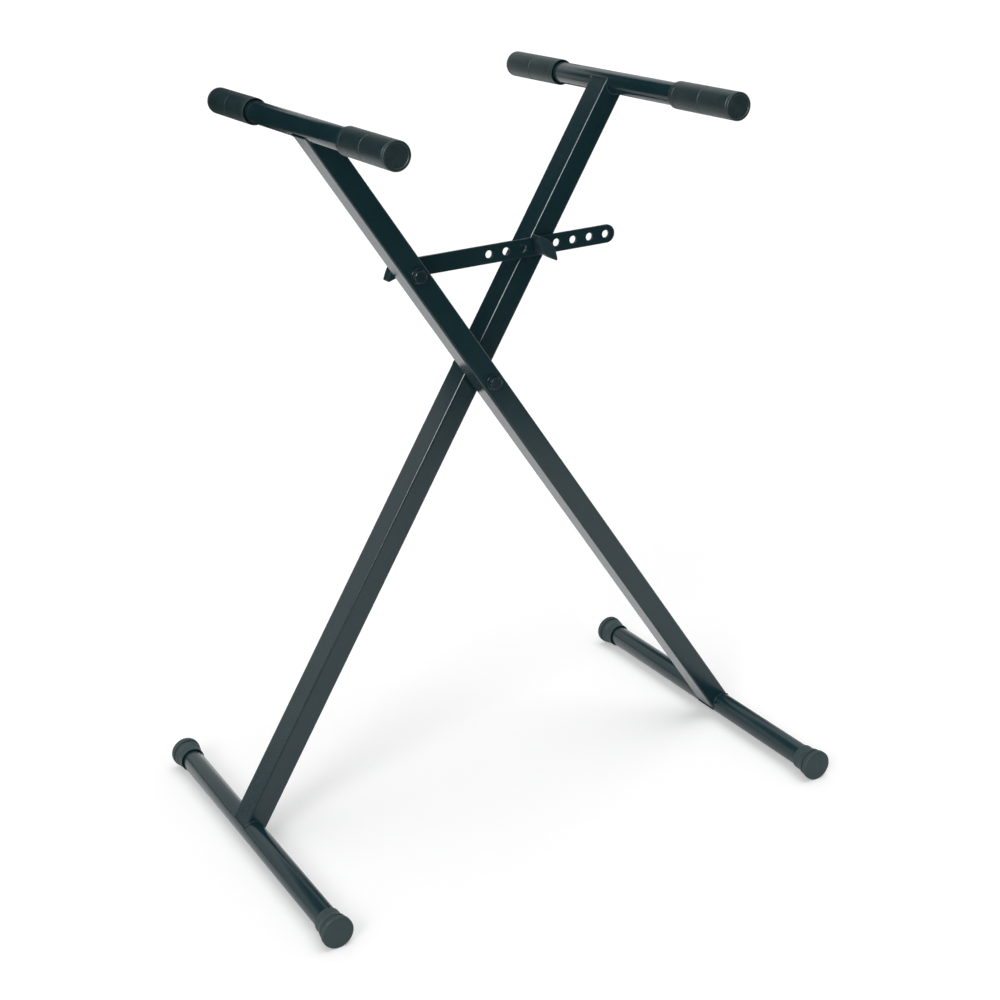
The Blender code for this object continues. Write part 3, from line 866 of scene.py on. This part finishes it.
def wings_edge(x, y, inset, sizes):
    """How far a point lies outside the outline of the wings, drawn in by an inset."""
    tip_blend = 0.0005
    x, y = abs(x), abs(y)
    tip = sizes.wing_tip / 2
    swell = sizes.wing_waist / 2 - tip
    along = min(x / sizes.wing_reach, 1.0) * pi / 2
    half = tip + swell * cos(along)
    lean = swell * pi / 2 / sizes.wing_reach * sin(along)
    flank = (y - half) / sqrt(1 + lean * lean)
    return -smaller(-flank, sizes.wing_reach - x, tip_blend) + inset


def knob_radius(angle, inset, hub, sizes):
    """Distance from a knob's axis to the outline of its wings and hub at an angle.

    Without an inset there are no wings, and with a hub of 0 there are only wings.
    """
    fillet = 0.0009
    halvings = 26
    inside = 0.0
    outside = sizes.wing_reach * 1.2
    for _ in range(halvings):
        radius = (inside + outside) / 2
        edge = radius - hub
        if inset is not None:
            wings = wings_edge(radius * cos(angle), radius * sin(angle), inset, sizes)
            edge = smaller(edge, wings, fillet) if hub > 0 else wings
        if edge < 0:
            inside = radius
        else:
            outside = radius
    return inside


def knob_angles(sizes):
    """Angles whose points lie evenly along the outline of a knob."""
    tries = 1440
    gap = 0.00045
    points = []
    for i in range(tries):
        angle = tau * i / tries
        points.append(polar(knob_radius(angle, 0.0, sizes.hub_top / 2, sizes), angle))
    return [atan2(point.y, point.x) for point in even(points, gap)]


def knob_levels(tall, sizes):
    """Height, inset of the wings and radius of the hub at each level of a knob."""
    base = sizes.hub_base / 2
    top = sizes.hub_top / 2
    shelf = 0.0030
    shoulder = 0.0112
    crown = 0.0120
    ease = 0.0004
    edge = 0.0010
    ease_steps, flank_steps, edge_steps = 3, 6, 4
    levels = [(0.0, None, base - 0.0004), (0.0001, None, base - 0.0001), (0.0004, None, base),
              (shelf - 0.0003, None, base), (shelf, 0.0006, base + 0.0001)]
    for k in range(1, ease_steps + 1):
        angle = pi / 2 * k / ease_steps
        levels.append((shelf + ease * (1 - cos(angle)), ease * (1 - sin(angle)), base))
    for k in range(1, flank_steps + 1):
        height = shelf + ease + (shoulder - shelf - ease) * k / flank_steps
        taper = (height - shelf) / (shoulder - shelf)
        levels.append((height, 0.0, base + (top - base) * taper))
    levels += [(crown - 0.0004, 0.0, top - 0.0002), (crown - 0.0001, 0.0, top - 0.0006),
               (crown + 0.0002, 0.0, 0.0), (tall - edge, 0.0, 0.0)]
    for k in range(1, edge_steps + 1):
        angle = pi / 2 * k / edge_steps
        levels.append((tall - edge * (1 - sin(angle)), edge * (1 - cos(angle)), 0.0))
    return levels


def build_knob(name, node, side, turn, sizes):
    """A moulded knob: a tapered round hub that grows into two leaf-shaped wings."""
    tall = length_of(node)
    bored = side > 0
    angles = knob_angles(sizes)
    rings = [[polar(knob_radius(angle, inset, hub, sizes), angle, height) for angle in angles]
             for height, inset, hub in knob_levels(tall, sizes)]
    if bored:
        bore = sizes.insert / 2
        for radius, height in ((bore + 0.0003, tall), (bore + 0.0001, tall - 0.0003),
                               (bore, tall - 0.0006), (bore, 0.0003), (bore + 0.0003, 0.0)):
            rings.append([polar(radius, angle, height) for angle in angles])
    place = on_end(node, side, tall) @ Matrix.Rotation(side * turn, 4, "Z")
    add_piece(name, skin(name, rings, looped=bored), place, "plastic", node, flats=True)


# Stage

# Cards that only gloss sees, black unless they glow: name, middle, two half sides, glow
CARDS = (
    ("front_card", (1.2, -1.1, 1.25), (1.8, 0, 0), (0, 0, 1.25), 0.0),
    ("rear_card", (-1.10, 0.7, 1.98), (0.90, 0, 0), (0, 0, 1.02), 0.0),
    ("upper_card", (0.04, 0.7, 2.07), (0.24, 0, 0), (0, 0, 0.93), 0.0),
    ("shelf_card", (-0.21, 0.7, 0.98), (0.13, 0, 0), (0, 0, 0.16), 0.0),
    ("back_card", (0, 2.0, 0.80), (3.5, 0, 0), (0, 0, 0.78), 0.66),
    ("skirting_card", (-1.75, 1.9, 0.11), (1.35, 0, 0), (0, 0, 0.10), 0.0),
    ("leg_card", (-0.772, 0.4, 0.742), (0.727, 0, 0), (0, 0, 0.157), 0.0),
    ("right_card", (0.78, 0.7, 0.58), (0.42, 0, 0), (0, 0, 0.30), 0.0),
    ("low_card", (-1.90, -1.30, 0.72), (-1.20, 1.57, 0), (0, 0, 0.55), 0.0),
)
SOFTBOX = ("softbox_card", (-1.80, -1.39, 1.80), (-0.49, 0.64, 0), (0.21, 0.16, 0.53))


def camera_matrix(stage):
    """The camera's place, from its yaw, pitch and roll."""
    yaw, pitch, roll = stage.camera_yaw, stage.camera_pitch, stage.camera_roll
    ahead = Vector((sin(yaw) * cos(pitch), cos(yaw) * cos(pitch), -sin(pitch)))
    level = Vector((cos(yaw), -sin(yaw), 0))
    upright = level.cross(ahead)
    right = level * cos(roll) + upright * sin(roll)
    up = upright * cos(roll) - level * sin(roll)
    axes = Matrix((right, up, -ahead)).transposed()
    return Matrix.Translation(stage.camera_place) @ axes.to_4x4()


def add_camera(stage):
    """The camera at the photograph's viewpoint."""
    data = bpy.data.cameras.new("camera")
    data.lens = stage.lens
    data.sensor_width = 36.0
    data.shift_x = stage.shift_x
    data.shift_y = stage.shift_y
    data.clip_end = 100.0
    camera = bpy.data.objects.new("camera", data)
    bpy.context.scene.collection.objects.link(camera)
    camera.matrix_world = camera_matrix(stage)
    bpy.context.scene.camera = camera


def add_lamp(name, towards, strength, spread):
    """A far lamp of an angular width, whose light comes from a direction."""
    data = bpy.data.lights.new(name, "SUN")
    data.energy = strength
    data.angle = spread
    lamp = bpy.data.objects.new(name, data)
    bpy.context.scene.collection.objects.link(lamp)
    lamp.rotation_mode = "QUATERNION"
    lamp.rotation_quaternion = Vector(towards).to_track_quat("Z", "Y")


def flat_sheet(name, across, up, material):
    """A flat rectangle about its own origin, from its two half sides."""
    mesh = bpy.data.meshes.new(name)
    corners = [across * x + up * y for x, y in ((-1, -1), (1, -1), (1, 1), (-1, 1))]
    mesh.from_pydata(corners, [], [(0, 1, 2, 3)])
    mesh.materials.append(material)
    sheet = bpy.data.objects.new(name, mesh)
    bpy.context.scene.collection.objects.link(sheet)
    return sheet


def seen_directly(recipe):
    """1 for rays from the camera, from gloss and through glass, else 0."""
    total = 0.0
    for name in ("Is Camera Ray", "Is Glossy Ray", "Is Transmission Ray"):
        total = recipe.add("LightPath", output=name) + total
    return total


def add_floor(stage):
    """A wide pale floor that shows white and keeps soft shadows."""
    size = 40.0
    below = 0.0002
    material = bpy.data.materials.new("pale_floor")
    recipe = Recipe(material)
    matt = recipe.add("BsdfDiffuse", None, {"Color": (*stage.floor, 1.0)})
    glow = recipe.add("Emission", None, {"Strength": seen_directly(recipe) * stage.glow})
    both = recipe.add("AddShader", None, {0: matt, 1: glow})
    recipe.add("OutputMaterial", None, {"Surface": both})
    floor = flat_sheet("floor", Vector((size, 0, 0)), Vector((0, size, 0)), material)
    floor.location.z = -below


def add_card(name, centre, across, up, glow):
    """A flat card that only reflections see: black, or as bright as its glow."""
    material = bpy.data.materials.new(name)
    recipe = Recipe(material)
    light = recipe.add("Emission", None, {"Strength": glow})
    recipe.add("OutputMaterial", None, {"Surface": light})
    card = flat_sheet(name, Vector(across), Vector(up), material)
    card.location = centre
    card.visible_camera = False
    card.visible_diffuse = False
    card.visible_transmission = False
    card.visible_volume_scatter = False
    card.visible_shadow = False


def add_world(stage):
    """White to the eye and in reflections, and an even light on the object."""
    world = bpy.data.worlds.new("studio")
    bpy.context.scene.world = world
    recipe = Recipe(world)
    plain = (1.0, 1.0, 1.0, 1.0)
    white = recipe.add("Background", None, {"Color": plain, "Strength": 1.0})
    light = recipe.add("Background", None, {"Color": plain, "Strength": stage.sky})
    both = recipe.add("MixShader", None, {0: seen_directly(recipe), 1: light, 2: white})
    recipe.add("OutputWorld", None, {"Surface": both})


# Operators

class STAND_OT_legs(bpy.types.Operator):
    """Make the two coped leg tubes"""
    bl_idname = "stand.legs"
    bl_label = "Leg tubes"

    def execute(self, context):
        for prefix in ("front", "rear"):
            build_leg(prefix, context.scene.stand_sizes)
        return {"FINISHED"}


class STAND_OT_bars(bpy.types.Operator):
    """Make the foot bars and the top bars"""
    bl_idname = "stand.bars"
    bl_label = "Round bars"

    def execute(self, context):
        sizes = context.scene.stand_sizes
        for prefix in ("front", "rear"):
            build_bar(prefix, "foot", sizes.foot_bar, sizes)
            build_bar(prefix, "top", sizes.top_bar, sizes)
        return {"FINISHED"}


class STAND_OT_beads(bpy.types.Operator):
    """Make the weld beads between the legs and the bars"""
    bl_idname = "stand.beads"
    bl_label = "Weld beads"

    def execute(self, context):
        sizes = context.scene.stand_sizes
        for prefix in ("front", "rear"):
            build_bead(prefix, "foot", sizes.foot_bar, sizes)
            build_bead(prefix, "top", sizes.top_bar, sizes)
        return {"FINISHED"}


class STAND_OT_rubber(bpy.types.Operator):
    """Make the foot plugs and the top sleeves"""
    bl_idname = "stand.rubber"
    bl_label = "Rubber plugs and sleeves"

    def execute(self, context):
        sizes = context.scene.stand_sizes
        for prefix in ("front", "rear"):
            for end in ENDS:
                build_cap(prefix, end, sizes)
                build_grip(prefix, end, sizes)
        return {"FINISHED"}


class STAND_OT_strap(bpy.types.Operator):
    """Make the drilled height strap"""
    bl_idname = "stand.strap"
    bl_label = "Height strap"

    def execute(self, context):
        build_strap(context.scene.stand_sizes)
        return {"FINISHED"}


class STAND_OT_bolts(bpy.types.Operator):
    """Make the bolts, the lock nut and the metal inserts"""
    bl_idname = "stand.bolts"
    bl_label = "Bolts and nuts"

    def execute(self, context):
        sizes = context.scene.stand_sizes
        for node in ("pivot_bolt", "strap_bolt"):
            build_bolt(node, sizes)
        build_lock_nut(sizes)
        build_insert(sizes)
        build_nut_tube(sizes)
        build_stud(sizes)
        return {"FINISHED"}


class STAND_OT_washers(bpy.types.Operator):
    """Make the washers and the spacer at the pivot"""
    bl_idname = "stand.washers"
    bl_label = "Washers and spacer"

    def execute(self, context):
        sizes = context.scene.stand_sizes
        for node in ("pivot_head_washer", "pivot_tail_washer", "strap_bolt_head_washer",
                     "strap_inner_washer", "strap_outer_washer", "wing_screw_washer"):
            build_washer(node, "steel", sizes)
        build_washer("pivot_spacer", "nylon", sizes)
        return {"FINISHED"}


class STAND_OT_knobs(bpy.types.Operator):
    """Make the wing nut and the head of the wing screw"""
    bl_idname = "stand.knobs"
    bl_label = "Wing knobs"

    def execute(self, context):
        sizes = context.scene.stand_sizes
        build_knob("wing_screw_knob", "wing_screw_head", -1, sizes.screw_turn, sizes)
        build_knob("wing_nut_knob", "wing_nut", 1, sizes.nut_turn, sizes)
        return {"FINISHED"}


class STAND_OT_stage(bpy.types.Operator):
    """Make the camera, the lamps, the floor and the world"""
    bl_idname = "stand.stage"
    bl_label = "Studio"

    def execute(self, context):
        stage = context.scene.stand_stage
        add_camera(stage)
        add_lamp("key_lamp", (-0.69, -0.53, 0.60), stage.key, spread=radians(22))
        add_lamp("top_lamp", (0.15, -0.10, 1.0), stage.top, spread=radians(50))
        for name, centre, across, up, glow in CARDS:
            add_card(name, centre, across, up, glow)
        add_card(*SOFTBOX, stage.softbox)
        add_floor(stage)
        add_world(stage)
        context.scene.view_settings.view_transform = "Standard"
        return {"FINISHED"}


class STAND_PT_panel(bpy.types.Panel):
    """Lists the stand's settings and its makers"""
    bl_idname = "STAND_PT_panel"
    bl_label = "Keyboard stand"
    bl_space_type = "VIEW_3D"
    bl_region_type = "UI"
    bl_category = "Stand"

    def draw(self, context):
        for group in ("stand_sizes", "stand_looks", "stand_stage"):
            settings = getattr(context.scene, group)
            box = self.layout.box()
            for name in settings.bl_rna.properties.keys():
                if name not in ("rna_type", "name"):
                    box.prop(settings, name)
        for maker in MAKERS:
            self.layout.operator(maker.bl_idname)


MAKERS = (STAND_OT_legs, STAND_OT_bars, STAND_OT_beads, STAND_OT_rubber, STAND_OT_strap,
          STAND_OT_bolts, STAND_OT_washers, STAND_OT_knobs, STAND_OT_stage)
CLASSES = (StandSizes, StandLooks, StandStage, *MAKERS, STAND_PT_panel)


def register():
    for kind in CLASSES:
        bpy.utils.register_class(kind)
    bpy.types.Scene.stand_sizes = PointerProperty(type=StandSizes)
    bpy.types.Scene.stand_looks = PointerProperty(type=StandLooks)
    bpy.types.Scene.stand_stage = PointerProperty(type=StandStage)


def unregister():
    for name in ("stand_sizes", "stand_looks", "stand_stage"):
        delattr(bpy.types.Scene, name)
    for kind in reversed(CLASSES):
        bpy.utils.unregister_class(kind)


def main():
    register()
    for maker in MAKERS:
        family, action = maker.bl_idname.split(".")
        getattr(getattr(bpy.ops, family), action)()


if __name__ == "__main__":
    main()
